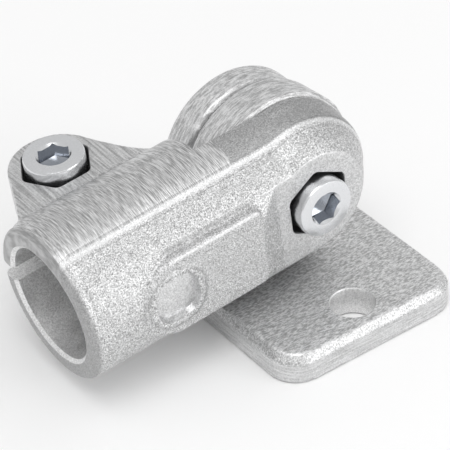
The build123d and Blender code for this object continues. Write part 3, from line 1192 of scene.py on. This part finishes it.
@dataclass
class CapScrew:
    """M8 socket head cap screw, head up, its seat on the local origin."""

    length: float
    head_radius: float = 6.5
    head_height: float = 8.0
    thread_radius: float = 3.95
    root_radius: float = 3.3
    pitch: float = 1.25
    key_across: float = 6.35
    key_depth: float = 3.3
    tip: float = 0.9

    def head(self, plating: bpy.types.Material, socket_shade: bpy.types.Material) -> bpy.types.Object:
        """Makes the head with a rolled edge and its hexagonal key socket.

        Args:
            plating: Material of the outside.
            socket_shade: Material of the key socket.

        Returns:
            The head.
        """
        top, edge = self.head_height, self.head_radius
        profile = [(-0.5, 0.0), (-0.5, 3.9), (0.0, 4.3), (0.0, edge - 0.35), (0.15, edge - 0.1), (0.4, edge),
                   (top - 0.6, edge), (top - 0.3, edge - 0.06), (top - 0.06, edge - 0.22), (top, edge - 0.34), (top, 0.0)]
        head = Bench.turned("head", profile, steps=96)
        head.data.materials.append(plating)
        radius = self.key_across / math.sqrt(3)
        shape = bmesh.new()
        bmesh.ops.create_cone(shape, cap_ends=True, segments=6, radius1=radius, radius2=radius, depth=self.key_depth,
                              matrix=CORNER_ON_X @ Matrix.Translation((0, 0, top + 0.01 - self.key_depth / 2)))
        floor = min(shape.faces, key=lambda face: face.calc_center_median().z)
        point = bmesh.ops.poke(shape, faces=[floor])["verts"][0]
        point.co.z -= 1.2
        socket = Bench.solid("socket", shape)
        # The socket walls take the darker, bluer painted-shade material.
        socket.data.materials.append(socket_shade)
        Bench.work(head, socket, Cut.REMOVE)
        sink = Bench.turned("sink", [(top - 0.5, 0.0), (top - 0.5, radius - 0.4), (top + 0.2, radius + 0.3), (top + 0.2, 0.0)],
                            steps=72)
        sink.data.materials.append(plating)
        return Bench.work(head, sink, Cut.REMOVE)

    def shank(self) -> bpy.types.Object:
        """Shank with a rolled thread and a bevelled tip."""
        shape = bmesh.new()
        pitch, crest, root = self.pitch, self.thread_radius, self.root_radius
        outline = [(0.0, root), (pitch * 0.12, root), (pitch * 0.45, crest), (pitch * 0.6, crest), (pitch * 0.93, root),
                   (pitch, root)]
        start = -self.length - 2 * pitch
        ring = [shape.verts.new((radius, 0, start + height)) for height, radius in outline]
        edges = [shape.edges.new(pair) for pair in zip(ring, ring[1:])]
        turns, steps = math.ceil((self.length + 4 * pitch) / pitch), 32
        bmesh.ops.spin(shape, geom=ring + edges, axis=(0, 0, 1), cent=(0, 0, 0), dvec=(0, 0, pitch / steps),
                       angle=math.tau * turns, steps=steps * turns)
        bmesh.ops.remove_doubles(shape, verts=shape.verts, dist=0.01)
        for height, side in ((-self.length, -1), (0.4, 1)):
            bmesh.ops.bisect_plane(shape, geom=shape.verts[:] + shape.edges[:] + shape.faces[:], dist=1e-4,
                                   plane_co=(0, 0, height), plane_no=(0, 0, side), clear_outer=True)
        rims = [edge for edge in shape.edges if edge.is_boundary]
        bmesh.ops.holes_fill(shape, edges=rims, sides=0)
        for vert in shape.verts:
            reach = root - 0.15 + (vert.co.z + self.length)
            radius = math.hypot(vert.co.x, vert.co.y)
            if radius > reach:
                vert.co.x *= reach / radius
                vert.co.y *= reach / radius
        return Bench.solid("shank", shape)

    def build(self, name: str, place: Matrix, plating: bpy.types.Material,
              socket_shade: bpy.types.Material) -> bpy.types.Object:
        """Builds and dresses the screw.

        Args:
            name: Name of the piece.
            place: Where its seat and axis lie in the row frame.
            plating: Its material.
            socket_shade: Material of its key socket.

        Returns:
            The finished piece.
        """
        screw = Bench.merge(name, [self.head(plating, socket_shade), self.shank()])
        for material in (plating, socket_shade):
            screw.data.materials.append(material)
        return Bench.finish(screw, name, place, 28.0)


@dataclass
class HexNut:
    """M8 hexagon nut lying on the local origin."""

    across_flats: float = 13.0
    height: float = 6.5
    bore_radius: float = 4.0

    def build(self, name: str, place: Matrix, plating: bpy.types.Material) -> bpy.types.Object:
        """Builds and dresses the nut.

        Args:
            name: Name of the piece.
            place: Where its seat and axis lie in the row frame.
            plating: Its material.

        Returns:
            The finished piece.
        """
        radius, height = self.across_flats / math.sqrt(3), self.height
        shape = bmesh.new()
        bmesh.ops.create_cone(shape, cap_ends=True, segments=6, radius1=radius, radius2=radius, depth=height,
                              matrix=CORNER_ON_X @ Matrix.Translation((0, 0, height / 2)))
        nut = Bench.solid(name, shape)
        drop, flat = 0.62, self.across_flats / 2 - 0.1
        domed = Bench.turned("domed", [(0.0, 0.0), (0.0, flat), (drop, radius + 0.1), (height - drop, radius + 0.1),
                                       (height, flat), (height, 0.0)], steps=96)
        Bench.work(nut, domed, Cut.COMMON)
        rim = self.bore_radius
        bore = Bench.turned("bore", [(-1.0, 0.0), (-1.0, rim + 1.4), (0.4, rim), (height - 0.4, rim),
                                     (height + 1.0, rim + 1.4), (height + 1.0, 0.0)], steps=48)
        Bench.work(nut, bore, Cut.REMOVE)
        nut.data.materials.clear()
        nut.data.materials.append(plating)
        return Bench.finish(nut, name, place, 24.0)


# ---------------------------------------------------------------- stage


@dataclass
class Studio:
    """Pale floor, soft lights and the camera."""

    target: Vector
    azimuth: float = -34.869
    elevation: float = 37.733
    roll: float = -2.872
    distance: float = 513.82
    drift: Point = (4.603, 11.997)
    lens: float = 195.6
    shift: Point = (-0.035, 0.035)

    def camera(self) -> None:
        """Places the camera at the chosen angle."""
        turn, lift, lean = (math.radians(a) for a in (self.azimuth, self.elevation, self.roll))
        back = Vector((math.sin(turn) * math.cos(lift), -math.cos(turn) * math.cos(lift), math.sin(lift)))
        right = Vector((math.cos(turn), math.sin(turn), 0))
        up = back.cross(right)
        side = right * math.cos(lean) + up * math.sin(lean)
        head = up * math.cos(lean) - right * math.sin(lean)
        spot = self.target + back * self.distance - side * self.drift[0] - head * self.drift[1]
        data = bpy.data.cameras.new("camera")
        data.lens = self.lens
        data.sensor_width = 36.0
        data.shift_x, data.shift_y = self.shift
        data.clip_start, data.clip_end = 0.01, 20.0
        camera = bpy.data.objects.new("camera", data)
        camera.matrix_world = Matrix.Translation(spot * MM) @ Matrix((side, head, back)).transposed().to_4x4()
        bpy.context.scene.collection.objects.link(camera)
        bpy.context.scene.camera = camera

    def light(self, name: str, spot: tuple[float, float, float], size: Point, power: float) -> None:
        """Adds a soft box aimed at the part.

        Args:
            name: Name of the light.
            spot: Its place in metres.
            size: Its width and height in metres.
            power: Its power in watts.
        """
        data = bpy.data.lights.new(name, "AREA")
        data.shape = "RECTANGLE"
        data.size, data.size_y = size
        data.energy = power
        lamp = bpy.data.objects.new(name, data)
        lamp.location = spot
        lamp.rotation_mode = "QUATERNION"
        lamp.rotation_quaternion = (self.target * MM - Vector(spot)).to_track_quat("-Z", "Y")
        bpy.context.scene.collection.objects.link(lamp)

    def floor(self) -> None:
        """Lays a wide pale floor."""
        shape = bmesh.new()
        bmesh.ops.create_grid(shape, x_segments=1, y_segments=1, size=3.0)
        mesh = bpy.data.meshes.new("floor")
        shape.to_mesh(mesh)
        shape.free()
        floor = bpy.data.objects.new("floor", mesh)
        floor.location = (0, 0, -0.0001)
        bpy.context.scene.collection.objects.link(floor)
        paper = bpy.data.materials.new("pale_paper")
        paper.use_nodes = True
        shader = paper.node_tree.nodes["Principled BSDF"]
        shader.inputs["Base Color"].default_value = (0.97, 0.97, 0.97, 1)
        shader.inputs["Roughness"].default_value = 0.9
        mesh.materials.append(paper)

    def build(self) -> None:
        """Sets the whole stage."""
        self.camera()
        self.floor()
        world = bpy.data.worlds.new("studio")
        world.use_nodes = True
        world.node_tree.nodes["Background"].inputs["Color"].default_value = (1, 1, 1, 1)
        world.node_tree.nodes["Background"].inputs["Strength"].default_value = 0.7
        bpy.context.scene.world = world
        bpy.context.scene.view_settings.view_transform = "Standard"
        self.light("key", (0.46, -0.84, 0.32), (0.6, 0.4), 2.3)
        self.light("fill", (-0.3, -0.3, 1.2), (0.8, 0.8), 5.0)
        LOG.info("stage set")


def adopt(piece: bpy.types.Object, body: str, node: str) -> None:
    """Lets a piece stand for a frame node.

    Args:
        piece: The finished piece.
        body: Body it rides on.
        node: Node it replaces.
    """
    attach(piece, body)
    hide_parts(node)
    LOG.info("%s: %d faces", piece.name, len(piece.data.polygons))


def main() -> None:
    """Builds the stage and every piece."""
    logging.basicConfig(level=logging.INFO, format="%(name)s %(message)s")
    Studio(Vector((0, 5.95, 20.0))).build()
    effects = Effects.build()
    bored = PlainMetal("bored_wall", 0.99, 0.5, 0.0, 3300.0, 0.06, 0.34).make(effects)
    plating = PlainMetal("zinc_plate", 0.8, 0.24, 0.016, 3000.0, 0.012, 0.07).make(effects)
    # Painted shade and painted reflection: the key socket is darker and bluer than the plating.
    socket_shade = PlainMetal("socket_wall_painted_shade", 0.62, 0.12, 0.035, 3000.0, 0.01, 0.1).make(effects)
    recess = PlainMetal("recess", 0.86, 0.32, 0.004, 3900.0, 0.06, 0.45).make(effects)
    # Painted shade: the hexagonal pockets' walls are given a dark colour for the shade inside them.
    pocket_shade = PlainMetal("hex_pocket_painted_shade", 0.3, 0.5, 0.004, 3000.0, 0.05, 0.3).make(effects)
    adopt(ClampArm().build(ArmSkin().make(effects), bored, pocket_shade, recess), "arm", "arm")
    adopt(BaseCasting().build(BaseSkin().make(effects), bored, pocket_shade), "base", "base")
    pivot = Matrix.Translation((0, 0, PIVOT_HEIGHT))
    forward = Matrix.Rotation(math.radians(90), 4, "X")
    ear = ARM_AT_REST @ Matrix.Translation((-38.6, 23.0, 0))
    screw_at = pivot @ Matrix.Translation((0, -7.95, 0)) @ forward
    nut_at = pivot @ Matrix.Translation((0, 12.05, 0)) @ ALONG_V @ Matrix.Rotation(math.radians(30), 4, "Z")
    adopt(CapScrew(30.0).build("pivot_cap_screw", screw_at, plating, socket_shade), "pivot_screw", "pivot_screw")
    adopt(HexNut().build("pivot_hex_nut", nut_at, plating), "pivot_nut", "pivot_nut")
    above = ear @ Matrix.Translation((0, 0, 6.15))
    below = ear @ Matrix.Translation((0, 0, -12.65))
    adopt(CapScrew(20.0).build("clamp_cap_screw", above, plating, socket_shade), "clamp_screw", "clamp_screw")
    adopt(HexNut().build("clamp_hex_nut", below, plating), "clamp_nut", "clamp_nut")


if __name__ == "__main__":
    main()
